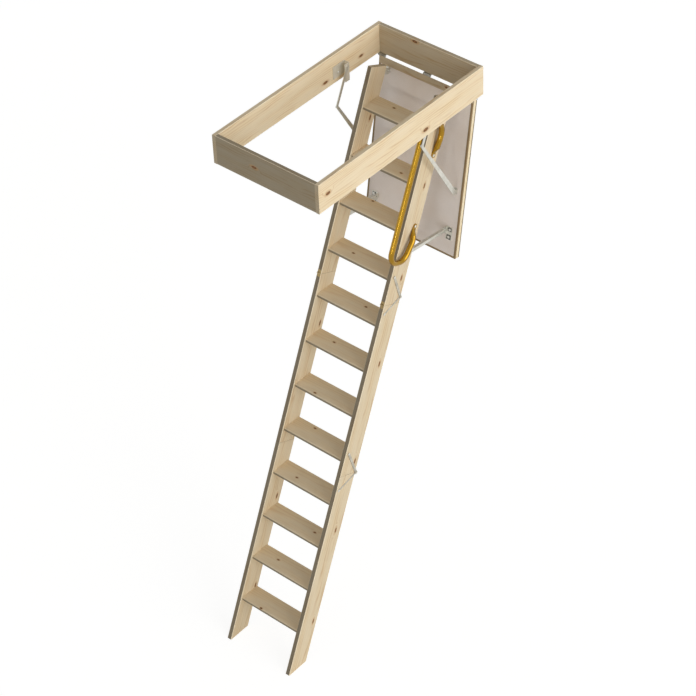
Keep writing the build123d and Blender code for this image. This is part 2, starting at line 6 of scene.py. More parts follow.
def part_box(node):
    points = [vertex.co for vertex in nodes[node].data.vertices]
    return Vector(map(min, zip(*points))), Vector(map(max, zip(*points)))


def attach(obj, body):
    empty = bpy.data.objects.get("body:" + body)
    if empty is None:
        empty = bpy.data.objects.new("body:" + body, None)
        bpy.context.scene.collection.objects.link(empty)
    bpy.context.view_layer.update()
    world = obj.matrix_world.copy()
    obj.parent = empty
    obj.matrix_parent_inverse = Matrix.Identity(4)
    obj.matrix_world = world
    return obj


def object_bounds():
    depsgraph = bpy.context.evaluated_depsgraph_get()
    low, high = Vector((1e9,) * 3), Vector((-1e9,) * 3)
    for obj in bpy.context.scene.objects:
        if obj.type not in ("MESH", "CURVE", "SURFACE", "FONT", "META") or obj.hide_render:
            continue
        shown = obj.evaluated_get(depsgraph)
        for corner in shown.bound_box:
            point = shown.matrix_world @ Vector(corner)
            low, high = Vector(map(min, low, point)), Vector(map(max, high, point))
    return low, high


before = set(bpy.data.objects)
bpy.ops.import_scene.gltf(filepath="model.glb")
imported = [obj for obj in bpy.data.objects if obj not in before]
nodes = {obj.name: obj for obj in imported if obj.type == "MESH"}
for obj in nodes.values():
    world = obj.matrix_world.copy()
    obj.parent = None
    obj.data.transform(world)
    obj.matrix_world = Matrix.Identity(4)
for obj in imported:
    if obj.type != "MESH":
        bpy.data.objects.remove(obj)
cad_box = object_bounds()

# Camera, in the photograph's place: high above the casing's near right corner, with a long lens.
# The view was fitted to the corners of the casing, the treads and the foot.
camera_place = Vector((5.996, -7.294, 6.331))
view_right = Vector((0.7616, 0.6471, -0.0340))
view_down = Vector((0.3997, -0.5105, -0.7613))
view_ahead = Vector((-0.5100, 0.5662, -0.6475))
photo_side = 696
focal_pixels = 2523.9
camera_data = bpy.data.cameras.new("photo_camera")
camera_data.sensor_width = 36.0
camera_data.lens = focal_pixels * camera_data.sensor_width / photo_side
camera_data.clip_start = 0.1
camera_data.clip_end = 100.0
camera = bpy.data.objects.new("photo_camera", camera_data)
camera.matrix_world = Matrix.Translation(camera_place) @ Matrix(
    (view_right, -view_down, -view_ahead)).transposed().to_4x4()
bpy.context.scene.collection.objects.link(camera)
bpy.context.scene.camera = camera


# Floor and surroundings: a pale studio floor under the ladder's feet, in a plain white room. The
# camera and reflections see both as white. The object is lit by a dimmer room, and its shadow
# still falls on the floor.
def linear(hex_colour):
    """Linear colour of an sRGB hex value such as F0DBB5."""
    levels = (int(hex_colour[i:i + 2], 16) / 255 for i in (0, 2, 4))
    return tuple(v / 12.92 if v <= 0.04045 else ((v + 0.055) / 1.055) ** 2.4 for v in levels) + (1.0,)


def add_node(owner, kind, settings=None, inputs=None):
    """Adds a shader node, sets its options, and fills or links its inputs."""
    node = owner.node_tree.nodes.new(kind)
    for name, value in (settings or {}).items():
        setattr(node, name, value)
    for name, value in (inputs or {}).items():
        if isinstance(value, bpy.types.NodeSocket):
            owner.node_tree.links.new(value, node.inputs[name])
        else:
            node.inputs[name].default_value = value
    return node


def seen_directly(owner):
    """1 for camera, glossy and transmission rays, and 0 for the rays that light the object."""
    path = add_node(owner, "ShaderNodeLightPath")
    mirrored = add_node(owner, "ShaderNodeMath", {"operation": "MAXIMUM"},
                        {0: path.outputs["Is Glossy Ray"], 1: path.outputs["Is Transmission Ray"]})
    seen = add_node(owner, "ShaderNodeMath", {"operation": "MAXIMUM"},
                    {0: path.outputs["Is Camera Ray"], 1: mirrored.outputs[0]})
    return seen.outputs[0]


floor_half = 20.0
floor_glow = 0.86
bpy.ops.object.select_all(action="DESELECT")
bpy.ops.mesh.primitive_plane_add(size=2 * floor_half, location=(0, 0, cad_box[0][2]))
floor = bpy.context.object
floor.name = "studio_floor"
floor.data.transform(floor.matrix_world)
floor.matrix_world = Matrix.Identity(4)
floor_paint = bpy.data.materials.new("matt_white_studio_floor")
floor_paint.use_nodes = True
floor_paint.node_tree.nodes.clear()
lit_floor = add_node(floor_paint, "ShaderNodeBsdfDiffuse", {}, {"Color": linear("EDEDEA")})
shaded_floor = add_node(floor_paint, "ShaderNodeBsdfDiffuse", {}, {"Color": linear("8F8F8D")})
white_floor = add_node(floor_paint, "ShaderNodeEmission", {}, {"Strength": floor_glow})
seen_floor = add_node(floor_paint, "ShaderNodeAddShader", {},
                      {0: shaded_floor.outputs[0], 1: white_floor.outputs[0]})
floor_mix = add_node(floor_paint, "ShaderNodeMixShader", {},
                     {0: seen_directly(floor_paint), 1: lit_floor.outputs[0], 2: seen_floor.outputs[0]})
add_node(floor_paint, "ShaderNodeOutputMaterial", {}, {"Surface": floor_mix.outputs[0]})
floor.data.materials.append(floor_paint)

room_light = 0.385
room = bpy.data.worlds.new("white_room")
room.use_nodes = True
room.node_tree.nodes.clear()
bpy.context.scene.world = room
dim_room = add_node(room, "ShaderNodeBackground", {}, {"Color": linear("FFFFFF"), "Strength": room_light})
white_room = add_node(room, "ShaderNodeBackground", {}, {"Color": linear("FFFFFF"), "Strength": 1.0})
room_mix = add_node(room, "ShaderNodeMixShader", {},
                    {0: seen_directly(room), 1: dim_room.outputs[0], 2: white_room.outputs[0]})
add_node(room, "ShaderNodeOutputWorld", {}, {"Surface": room_mix.outputs[0]})

# Lamps: a very broad soft light from the right, low over the casing, which gives the long boards their
# pale sides, and a small one from the front for the glints on the handrail and the bolts.
for lamp_name, toward, strength, spread in (
    ("soft_key", (1.0, -0.045, 0.19), 1.97, 60),
    ("glint", (0.275, -0.96, 0.05), 0.17, 7),
):
    lamp_data = bpy.data.lights.new(lamp_name, "SUN")
    lamp_data.energy = strength
    lamp_data.angle = math.radians(spread)
    lamp = bpy.data.objects.new(lamp_name, lamp_data)
    lamp.rotation_euler = Vector(toward).to_track_quat("Z", "Y").to_euler()
    bpy.context.scene.collection.objects.link(lamp)

bpy.context.scene.view_settings.view_transform = "Standard"

# Casing: four planed pine boards round the ceiling opening, the long ones over the ends of the
# short ones. Their grain runs along each board, and knots go through from face to face.
mm = 0.001
# Growth rings are drawn wider apart than the real 2 to 4 mm, so that they show at this size
ring_spacing = 11.0
ring_sway = 46.0
ring_swell = 22.0
# End grain is painted darker by this factor, as painted shade like that of the near end board
end_grain_shade = 0.6


def pine_board(name, centre, turn, pith, knots=(), tone=1.0, edge_shade=0.86, figure=0.55,
               arris_highlight=0.7, half_width=0.0):
    """Planed pine: growth rings about a pith line, seen on every face, with knots and fine fibre.

    The board's own first axis runs along the grain, the second through its thickness and the third
    across its width, in millimetres from its centre. A knot is (along, across, length, width).
    The figure is how strongly the rings show. The edge and end-grain shades darken those faces as
    painted shade, and the rounded arrises are painted paler as a painted highlight. Where the half
    width is given, the wide faces get a painted highlight in a narrow line along their rounded edges.
    """
    material = bpy.data.materials.new(name)
    material.use_nodes = True
    place = add_node(material, "ShaderNodeTexCoord")
    board = add_node(material, "ShaderNodeMapping", {"vector_type": "TEXTURE"}, {
        "Vector": place.outputs["Object"], "Location": centre, "Rotation": turn, "Scale": (mm, mm, mm)})
    at = board.outputs[0]

    # Distance to the nearest knot, in knot radii
    nearest = None
    for along, across, length, width in knots:
        offset = add_node(material, "ShaderNodeVectorMath", {"operation": "SUBTRACT"},
                          {0: at, 1: (along, 0, across)})
        shape = add_node(material, "ShaderNodeVectorMath", {"operation": "MULTIPLY"},
                         {0: offset.outputs[0], 1: (2 / length, 0, 2 / width)})
        away = add_node(material, "ShaderNodeVectorMath", {"operation": "LENGTH"}, {0: shape.outputs[0]})
        if nearest is None:
            nearest = away.outputs["Value"]
        else:
            nearest = add_node(material, "ShaderNodeMath", {"operation": "MINIMUM"},
                               {0: nearest, 1: away.outputs["Value"]}).outputs[0]

    # Growth rings, swaying slowly along the board and swelling round the knots
    slow = add_node(material, "ShaderNodeMapping", {}, {"Vector": at, "Scale": (1 / 380, 1 / 60, 1 / 60)})
    sway = add_node(material, "ShaderNodeTexNoise", {},
                    {"Vector": slow.outputs[0], "Scale": 1.0, "Detail": 2.0})
    from_pith = add_node(material, "ShaderNodeVectorMath", {"operation": "SUBTRACT"},
                         {0: at, 1: (0, pith[0], pith[1])})
    section = add_node(material, "ShaderNodeVectorMath", {"operation": "MULTIPLY"},
                       {0: from_pith.outputs[0], 1: (0, 1, 1)})
    radius = add_node(material, "ShaderNodeVectorMath", {"operation": "LENGTH"}, {0: section.outputs[0]})
    rings = add_node(material, "ShaderNodeMath", {"operation": "MULTIPLY_ADD"},
                     {0: sway.outputs["Fac"], 1: ring_sway, 2: radius.outputs["Value"]}).outputs[0]
    if nearest is not None:
        swell = add_node(material, "ShaderNodeMapRange", {"interpolation_type": "SMOOTHSTEP"},
                         {"Value": nearest, "From Min": 0.6, "From Max": 4.0,
                          "To Min": ring_swell, "To Max": 0.0})
        rings = add_node(material, "ShaderNodeMath", {"operation": "ADD"},
                         {0: rings, 1: swell.outputs[0]}).outputs[0]
    counted = add_node(material, "ShaderNodeMath", {"operation": "DIVIDE"}, {0: rings, 1: ring_spacing})
    phase = add_node(material, "ShaderNodeMath", {"operation": "FRACT"}, {0: counted.outputs[0]})
    late = add_node(material, "ShaderNodeMapRange", {"interpolation_type": "SMOOTHSTEP"},
                    {"Value": phase.outputs[0], "From Min": 0.45, "From Max": 0.9})
    closing = add_node(material, "ShaderNodeMapRange", {"interpolation_type": "SMOOTHSTEP"},
                       {"Value": phase.outputs[0], "From Min": 0.9, "From Max": 1.0,
                        "To Min": 1.0, "To Max": 0.0})
    latewood = add_node(material, "ShaderNodeMath", {"operation": "MULTIPLY"},
                        {0: late.outputs[0], 1: closing.outputs[0]})

    # Rings show strongly in some places and hardly in others
    patches = add_node(material, "ShaderNodeMapping", {}, {"Vector": at, "Scale": (1 / 220, 1 / 30, 1 / 30)})
    patch = add_node(material, "ShaderNodeTexNoise", {},
                     {"Vector": patches.outputs[0], "Scale": 1.0, "Detail": 3.0})
    strength = add_node(material, "ShaderNodeMapRange", {"interpolation_type": "SMOOTHSTEP"},
                        {"Value": patch.outputs["Fac"], "From Min": 0.38, "From Max": 0.66,
                         "To Min": 0.1 * figure, "To Max": figure})
    line = add_node(material, "ShaderNodeMath", {"operation": "MULTIPLY"},
                    {0: latewood.outputs[0], 1: strength.outputs[0]})

    # Colour: warm and pale stretches, latewood lines, fine fibre along the grain
    warmth = add_node(material, "ShaderNodeTexNoise", {},
                      {"Vector": slow.outputs[0], "Scale": 1.7, "Detail": 1.0, "Roughness": 0.4})
    early = add_node(material, "ShaderNodeMix", {"data_type": "RGBA"},
                     {0: warmth.outputs["Fac"], 6: linear("F6E6C9"), 7: linear("F1D8AC")})
    ringed = add_node(material, "ShaderNodeMix", {"data_type": "RGBA"},
                      {0: line.outputs[0], 6: early.outputs[2], 7: linear("CFA472")})
    fine = add_node(material, "ShaderNodeMapping", {}, {"Vector": at, "Scale": (1 / 110, 1 / 2.6, 1 / 2.6)})
    fibre = add_node(material, "ShaderNodeTexNoise", {},
                     {"Vector": fine.outputs[0], "Scale": 1.0, "Detail": 2.0})
    fibre_tone = add_node(material, "ShaderNodeMapRange", {},
                          {"Value": fibre.outputs["Fac"], "From Min": 0.3, "From Max": 0.7,
                           "To Min": 0.95 * tone, "To Max": 1.02 * tone})
    colour = add_node(material, "ShaderNodeVectorMath", {"operation": "SCALE"},
                      {0: ringed.outputs[2], "Scale": fibre_tone.outputs[0]}).outputs[0]

    # Knots: reddish brown, darker at the rim, in a warm halo
    if nearest is not None:
        halo = add_node(material, "ShaderNodeMapRange", {"interpolation_type": "SMOOTHSTEP"},
                        {"Value": nearest, "From Min": 1.0, "From Max": 2.3, "To Min": 0.55, "To Max": 0.0})
        haloed = add_node(material, "ShaderNodeMix", {"data_type": "RGBA"},
                          {0: halo.outputs[0], 6: colour, 7: linear("C9985F")})
        core = add_node(material, "ShaderNodeMapRange", {"interpolation_type": "SMOOTHSTEP"},
                        {"Value": nearest, "From Min": 0.86, "From Max": 1.06, "To Min": 1.0, "To Max": 0.0})
        depth = add_node(material, "ShaderNodeMapRange", {"interpolation_type": "SMOOTHSTEP"},
                         {"Value": nearest, "From Min": 0.1, "From Max": 0.95})
        brown = add_node(material, "ShaderNodeMix", {"data_type": "RGBA"},
                         {0: depth.outputs[0], 6: linear("9A6A42"), 7: linear("5E3D25")})
        colour = add_node(material, "ShaderNodeMix", {"data_type": "RGBA"},
                          {0: core.outputs[0], 6: haloed.outputs[2], 7: brown.outputs[2]}).outputs[2]

    # Narrow edges and end grain are painted darker than the planed face, as painted shade on the faces
    # that turn from the light, and the rounded arrises are painted paler, as a painted highlight
    facing = {}
    for face, axis in (("end", Vector((1, 0, 0))), ("side", Vector((0, 1, 0))), ("edge", Vector((0, 0, 1)))):
        axis.rotate(turn)
        dot = add_node(material, "ShaderNodeVectorMath", {"operation": "DOT_PRODUCT"},
                       {0: place.outputs["Normal"], 1: axis})
        facing[face] = add_node(material, "ShaderNodeMath", {"operation": "ABSOLUTE"},
                                {0: dot.outputs["Value"]}).outputs[0]
    for face, shade in (("edge", edge_shade), ("end", end_grain_shade)):
        face_shade = add_node(material, "ShaderNodeMapRange", {"interpolation_type": "SMOOTHSTEP"},
                        {"Value": facing[face], "From Min": 0.75, "From Max": 0.95,
                         "To Min": 1.0, "To Max": shade})
        colour = add_node(material, "ShaderNodeVectorMath", {"operation": "SCALE"},
                          {0: colour, "Scale": face_shade.outputs[0]}).outputs[0]
    both = add_node(material, "ShaderNodeMath", {"operation": "MINIMUM"},
                    {0: facing["side"], 1: facing["edge"]})
    highlight_mask = add_node(material, "ShaderNodeMapRange", {"interpolation_type": "SMOOTHSTEP"},
                     {"Value": both.outputs[0], "From Min": 0.4, "From Max": 0.65,
                      "To Min": 0.0, "To Max": arris_highlight})
    if half_width:
        apart = add_node(material, "ShaderNodeSeparateXYZ", {}, {0: at})
        out = add_node(material, "ShaderNodeMath", {"operation": "ABSOLUTE"}, {0: apart.outputs[2]})
        band = add_node(material, "ShaderNodeMapRange", {"interpolation_type": "SMOOTHSTEP"},
                        {"Value": out.outputs[0], "From Min": half_width - 4.5, "From Max": half_width - 2.5,
                         "To Min": 0.0, "To Max": 0.6})
        wide = add_node(material, "ShaderNodeMath", {"operation": "MULTIPLY"},
                        {0: band.outputs[0], 1: facing["side"]})
        highlight_mask = add_node(material, "ShaderNodeMath", {"operation": "MAXIMUM"},
                         {0: highlight_mask.outputs[0], 1: wide.outputs[0]})
    highlighted = add_node(material, "ShaderNodeMix", {"data_type": "RGBA"},
                     {0: highlight_mask.outputs[0], 6: colour, 7: linear("FFF0D2")})

    shader = material.node_tree.nodes["Principled BSDF"]
    material.node_tree.links.new(highlighted.outputs[2], shader.inputs["Base Color"])
    gloss = add_node(material, "ShaderNodeMapRange", {},
                     {"Value": line.outputs[0], "To Min": 0.68, "To Max": 0.52})
    material.node_tree.links.new(gloss.outputs[0], shader.inputs["Roughness"])
    shader.inputs["Specular IOR Level"].default_value = 0.28
    relief = add_node(material, "ShaderNodeMath", {"operation": "MULTIPLY_ADD"},
                      {0: line.outputs[0], 1: 0.5, 2: fibre.outputs["Fac"]})
    bump = add_node(material, "ShaderNodeBump", {},
                    {"Height": relief.outputs[0], "Strength": 0.25, "Distance": 0.0005})
    material.node_tree.links.new(bump.outputs[0], shader.inputs["Normal"])
    return material


def dress(node_name, material):
    """Gives a carried-over CAD node its finish."""
    slots = nodes[node_name].data.materials
    slots.clear()
    slots.append(material)


def middle_of(node_name):
    """Centre of a CAD node's box."""
    low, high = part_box(node_name)
    return (Vector(low) + Vector(high)) / 2


casing_half_height = 75.0
along_y = Matrix.Rotation(math.pi / 2, 3, "Z").to_euler("XYZ")
along_x = Matrix.Identity(3).to_euler("XYZ")
for side, pith, knots in (
    ("left", (-34.0, 96.0), ((158, -39, 30, 13), (404, -26, 26, 12))),
    ("right", (44.0, -88.0), ((151, -38, 34, 17), (-496, 2, 28, 15))),
):
    board_name = "casing_side_" + side
    dress(board_name, pine_board("planed_pine_" + board_name, middle_of(board_name), along_y, pith, knots,
                                 half_width=casing_half_height))
# The end boards' lower tones, 0.43 and 0.64, are painted shade on faces turned from the light
for end, pith, knots, tone in (
    ("near", (-30.0, 20.0), ((-63, 7, 30, 12),), 0.43),
    ("hinge", (38.0, -60.0), ((-72, 64, 30, 14),), 0.64),
):
    board_name = "casing_end_" + end
    dress(board_name, pine_board("planed_pine_" + board_name, middle_of(board_name), along_x, pith, knots,
                                 tone=tone))

# Hatch: a pine top rail, a thin brown lipping round a painted inner board, a cream foam core and a
# brown fibreboard outside. It hangs from three zinc-plated butt hinges.
hatch_top = Vector((0, -0.032, -0.081))
hatch_lean = math.radians(9.8)
hatch_down = Vector((0, -math.sin(hatch_lean), -math.cos(hatch_lean)))
hatch_out = Vector((0, -math.cos(hatch_lean), math.sin(hatch_lean)))


def on_hatch(x, down, off):
    """Place at a distance across, down and in front of the hatch's inner face, in millimetres."""
    return Vector((x * mm, 0, 0)) + hatch_top + hatch_down * down * mm + hatch_out * off * mm


lean_back = Matrix.Rotation(-hatch_lean, 3, "X").to_euler("XYZ")
dress("hatch_top_rail", pine_board("planed_pine_hatch_rail", middle_of("hatch_top_rail"), lean_back,
                                   (26.0, -30.0), ((120, 4, 16, 8),), tone=0.7))


def board_finish(name, pale, dark, speck, roughness, grain_height):
    """Board with a cloudy, speckled surface: two tones mixed by coarse and fine noise."""
    material = bpy.data.materials.new(name)
    material.use_nodes = True
    place = add_node(material, "ShaderNodeTexCoord")
    clouds = add_node(material, "ShaderNodeTexNoise", {},
                      {"Vector": place.outputs["Object"], "Scale": 6.0, "Detail": 2.0})
    specks = add_node(material, "ShaderNodeTexNoise", {},
                      {"Vector": place.outputs["Object"], "Scale": 1 / (speck * mm), "Detail": 3.0})
    blend = add_node(material, "ShaderNodeMath", {"operation": "MULTIPLY_ADD"},
                     {0: specks.outputs["Fac"], 1: 0.6, 2: clouds.outputs["Fac"]})
    share = add_node(material, "ShaderNodeMapRange", {"interpolation_type": "SMOOTHSTEP"},
                     {"Value": blend.outputs[0], "From Min": 0.55, "From Max": 1.05})
    tone = add_node(material, "ShaderNodeMix", {"data_type": "RGBA"},
                    {0: share.outputs[0], 6: linear(pale), 7: linear(dark)})
    shader = material.node_tree.nodes["Principled BSDF"]
    material.node_tree.links.new(tone.outputs[2], shader.inputs["Base Color"])
    shader.inputs["Roughness"].default_value = roughness
    shader.inputs["Specular IOR Level"].default_value = 0.25
    bump = add_node(material, "ShaderNodeBump", {},
                    {"Height": specks.outputs["Fac"], "Strength": 0.3, "Distance": grain_height * mm})
    material.node_tree.links.new(bump.outputs[0], shader.inputs["Normal"])
    return material


# Rolled paint leaves a faint stipple, the foam shows its beads, and fibreboard its fibres
dress("hatch_inner_panel", board_finish("rolled_white_paint_on_board", "FCF3EC", "F3E7DD", 3.0, 0.5, 0.2))
dress("hatch_border", board_finish("brown_edge_lipping", "A48C68", "86704E", 2.0, 0.6, 0.3))
dress("hatch_core", board_finish("cream_foam_core", "FBEBCB", "EFD9B0", 4.0, 0.8, 0.8))
dress("hatch_outer_panel", board_finish("brown_fibreboard", "88744F", "7B6847", 1.5, 0.7, 0.3))


# Zinc plating: bright, slightly warm steel with faint spangle and rolling marks
def plated_steel(name, colour, dark, roughness, metallic):
    """Plated steel with cloudy variation in tone and gloss."""
    material = bpy.data.materials.new(name)
    material.use_nodes = True
    place = add_node(material, "ShaderNodeTexCoord")
    spangle = add_node(material, "ShaderNodeTexVoronoi", {},
                       {"Vector": place.outputs["Object"], "Scale": 1 / (7 * mm), "Randomness": 1.0})
    haze = add_node(material, "ShaderNodeTexNoise", {},
                    {"Vector": place.outputs["Object"], "Scale": 1 / (25 * mm), "Detail": 4.0})
    blend = add_node(material, "ShaderNodeMath", {"operation": "MULTIPLY_ADD"},
                     {0: spangle.outputs["Distance"], 1: 0.12, 2: haze.outputs["Fac"]})
    share = add_node(material, "ShaderNodeMapRange", {"interpolation_type": "SMOOTHSTEP"},
                     {"Value": blend.outputs[0], "From Min": 0.35, "From Max": 0.85})
    tone = add_node(material, "ShaderNodeMix", {"data_type": "RGBA"},
                    {0: share.outputs[0], 6: linear(colour), 7: linear(dark)})
    shader = material.node_tree.nodes["Principled BSDF"]
    material.node_tree.links.new(tone.outputs[2], shader.inputs["Base Color"])
    shader.inputs["Metallic"].default_value = metallic
    gloss = add_node(material, "ShaderNodeMapRange", {},
                     {"Value": haze.outputs["Fac"], "From Min": 0.3, "From Max": 0.7,
                      "To Min": roughness - 0.05, "To Max": roughness + 0.07})
    material.node_tree.links.new(gloss.outputs[0], shader.inputs["Roughness"])
    bump = add_node(material, "ShaderNodeBump", {},
                    {"Height": haze.outputs["Fac"], "Strength": 0.15, "Distance": 0.3 * mm})
    material.node_tree.links.new(bump.outputs[0], shader.inputs["Normal"])
    return material


zinc = plated_steel("zinc_plated_steel", "DDDBD0", "CBC9BE", 0.36, 0.7)
hinge_steel = plated_steel("dull_zinc_hinge", "B3B1A8", "8C8A82", 0.45, 0.75)
dress("hatch_hinges", hinge_steel)


def flat_selected(mesh_object, test):
    """Enters edit mode with only the faces selected whose centre and normal pass the test."""
    bpy.ops.object.select_all(action="DESELECT")
    mesh_object.select_set(True)
    bpy.context.view_layer.objects.active = mesh_object
    bpy.ops.object.mode_set(mode="EDIT")
    bpy.ops.mesh.select_mode(type="FACE")
    bpy.ops.mesh.select_all(action="DESELECT")
    bpy.ops.object.mode_set(mode="OBJECT")
    for face in mesh_object.data.polygons:
        face.select = test(face.center, face.normal)
    bpy.ops.object.mode_set(mode="EDIT")


def finish_model(mesh_object, name, angle=35):
    """Leaves edit mode, points the faces outwards and smooths the rounded ones."""
    bpy.ops.mesh.select_all(action="SELECT")
    bpy.ops.mesh.normals_make_consistent(inside=False)
    bpy.ops.object.mode_set(mode="OBJECT")
    bpy.ops.object.shade_smooth_by_angle(angle=math.radians(angle))
    mesh_object.name = name
    mesh_object.data.name = name


def place_copy(model, name, place, facing, body, material):
    """A copy of a small part with its own mesh, standing at a place and facing a direction."""
    copy = bpy.data.objects.new(name, model.data.copy())
    copy.data.name = name
    turn = Vector(facing).to_track_quat("Z", "Y").to_matrix().to_4x4()
    copy.data.transform(Matrix.Translation(place) @ turn)
    copy.data.materials.clear()
    copy.data.materials.append(material)
    bpy.context.scene.collection.objects.link(copy)
    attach(copy, body)


# Countersunk screw: a flat head with a square driver hole, 6 mm across, for the hinge leaves
screw_radius = 3.0 * mm
bpy.ops.object.select_all(action="DESELECT")
bpy.ops.mesh.primitive_cylinder_add(vertices=20, radius=screw_radius, depth=1.0 * mm,
                                    location=(0, 0, 0.1 * mm))
screw = bpy.context.object
screw.data.transform(screw.matrix_world)
screw.matrix_world = Matrix.Identity(4)
flat_selected(screw, lambda centre, normal: normal.z > 0.9)
bpy.ops.mesh.inset(thickness=0.5 * mm, depth=0.25 * mm)
bpy.ops.mesh.inset(thickness=1.3 * mm)
bpy.ops.mesh.extrude_region_move(TRANSFORM_OT_translate={"value": (0, 0, -0.6 * mm)})
finish_model(screw, "countersunk_screw")

upper_body = "casing_and_upper_section"
middle_body = "middle_section"
lower_body = "lower_section"
hinge_leaf = Vector((0, -0.010, -0.077))
for number, hinge_x in enumerate((-262.5, 0.0, 262.5), 1):
    for side, offset in (("a", -13.0), ("b", 13.0)):
        place_copy(screw, f"hatch_hinge_screw_{number}_{side}",
                   hinge_leaf + Vector(((hinge_x + offset) * mm, 0, 0)),
                   (0, 0, -1), upper_body, zinc)

# Arms: flat zinc-plated links on folded brackets, pinned at the knee. Pan-head bolts hold the
# brackets to the casing and to the hatch.
for node_name in ("arm_upper_links", "arm_lower_links", "arm_hatch_brackets"):
    dress(node_name, zinc)

# Pan-head bolt: a domed head with a socket, on a washer
washer_radius, washer_thickness, head_radius, head_height = 7.0 * mm, 0.8 * mm, 4.6 * mm, 2.6 * mm
bpy.ops.object.select_all(action="DESELECT")
bpy.ops.mesh.primitive_cylinder_add(vertices=24, radius=washer_radius, depth=washer_thickness,
                                    location=(0, 0, washer_thickness / 2))
pan_bolt = bpy.context.object
pan_bolt.data.transform(pan_bolt.matrix_world)
pan_bolt.matrix_world = Matrix.Identity(4)
flat_selected(pan_bolt, lambda centre, normal: normal.z > 0.9)
bpy.ops.mesh.inset(thickness=washer_radius - head_radius)
bpy.ops.mesh.extrude_region_move(TRANSFORM_OT_translate={"value": (0, 0, 0.6 * head_height)})
bpy.ops.mesh.extrude_region_move(TRANSFORM_OT_translate={"value": (0, 0, 0.25 * head_height)})
bpy.ops.transform.resize(value=(0.82, 0.82, 1))
bpy.ops.mesh.extrude_region_move(TRANSFORM_OT_translate={"value": (0, 0, 0.15 * head_height)})
bpy.ops.transform.resize(value=(0.72, 0.72, 1))
bpy.ops.mesh.inset(thickness=0.6 * mm)
bpy.ops.mesh.extrude_region_move(TRANSFORM_OT_translate={"value": (0, 0, -0.5 * head_height)})
finish_model(pan_bolt, "pan_head_bolt", 50)

bolt_steel = plated_steel("bright_zinc_bolt", "E4E2DA", "C6C4BA", 0.28, 0.8)
# The casing brackets' steel is tinted beige, a painted reflection of the pine boards around them
wood_reflecting_steel = plated_steel("plated_steel_with_painted_wood_reflection", "E6DFCF", "D6CFBD", 0.5, 0.4)
black_steel = plated_steel("blackened_steel", "6B6861", "4F4C46", 0.5, 0.6)
dress("arm_casing_brackets", wood_reflecting_steel)
bracket_face = 2.0
for side, sign in (("left", -1), ("right", 1)):
    place_copy(pan_bolt, f"casing_bracket_bolt_{side}", Vector((sign * 0.277, -0.311, -0.0265)),
               (-sign, 0, 0), upper_body, bolt_steel)
    for number, down in enumerate((487.0, 503.0), 1):
        place_copy(screw, f"arm_bracket_screw_{side}_{number}", on_hatch(sign * 228.0, down, bracket_face),
                   hatch_out, upper_body, black_steel)

# Stand-offs: angle-section struts of the same zinc-plated steel, bolted to the upper stringers and
# to plates on the hatch. The lower plates carry squares of blackened steel under their bolts.
for node_name in ("ladder_struts", "strut_hatch_brackets", "ladder_top_struts", "top_hatch_brackets"):
    dress(node_name, zinc)

ladder_lean = math.radians(66.35)
ladder_foot = Vector((0, -1.390029, -2.749))
ladder_up = Vector((0, math.cos(ladder_lean), math.sin(ladder_lean)))
ladder_in = Vector((0, math.sin(ladder_lean), -math.cos(ladder_lean)))


def on_ladder(x, up, depth):
    """Place at a distance across, up and behind the ladder's front face, in millimetres."""
    return Vector((x * mm, 0, 0)) + ladder_foot + ladder_up * up * mm + ladder_in * depth * mm


# Hex bolt: a six-sided head with a turned chamfer, on a round washer
hex_radius, hex_height = 5.6 * mm, 3.4 * mm
bpy.ops.object.select_all(action="DESELECT")
bpy.ops.mesh.primitive_cylinder_add(vertices=6, radius=hex_radius, depth=hex_height,
                                    location=(0, 0, washer_thickness + hex_height / 2))
hex_bolt = bpy.context.object
hex_bolt.data.transform(hex_bolt.matrix_world)
hex_bolt.matrix_world = Matrix.Identity(4)
flat_selected(hex_bolt, lambda centre, normal: normal.z > 0.9)
bpy.ops.mesh.inset(thickness=0.7 * mm, depth=0.4 * mm)
bpy.ops.mesh.select_all(action="DESELECT")
bpy.ops.mesh.primitive_cylinder_add(vertices=24, radius=washer_radius, depth=washer_thickness,
                                    location=(0, 0, washer_thickness / 2))
finish_model(hex_bolt, "hex_bolt", 30)

upper_joint = 1964.41
lower_joint = 1085.48
stringer_outer = 201.9
strut_pin_off = 14.0
for side, sign in (("left", -1), ("right", 1)):
    for level, up, depth, down in (("low", upper_joint + 265.6, 102.0, 708.0), ("top", 2941.6, 90.0, 51.0)):
        place_copy(hex_bolt, f"strut_bolt_{level}_{side}",
                   on_ladder(sign * (stringer_outer + 3.0), up, depth),
                   (sign, 0, 0), upper_body, bolt_steel)
        place_copy(hex_bolt, f"strut_pin_bolt_{level}_{side}",
                   on_hatch(sign * (stringer_outer + 6.3), down, strut_pin_off),
                   (sign, 0, 0), upper_body, bolt_steel)
        place_copy(hex_bolt, f"strut_pin_nut_{level}_{side}",
                   on_hatch(sign * stringer_outer, down, strut_pin_off),
                   (-sign, 0, 0), upper_body, bolt_steel)

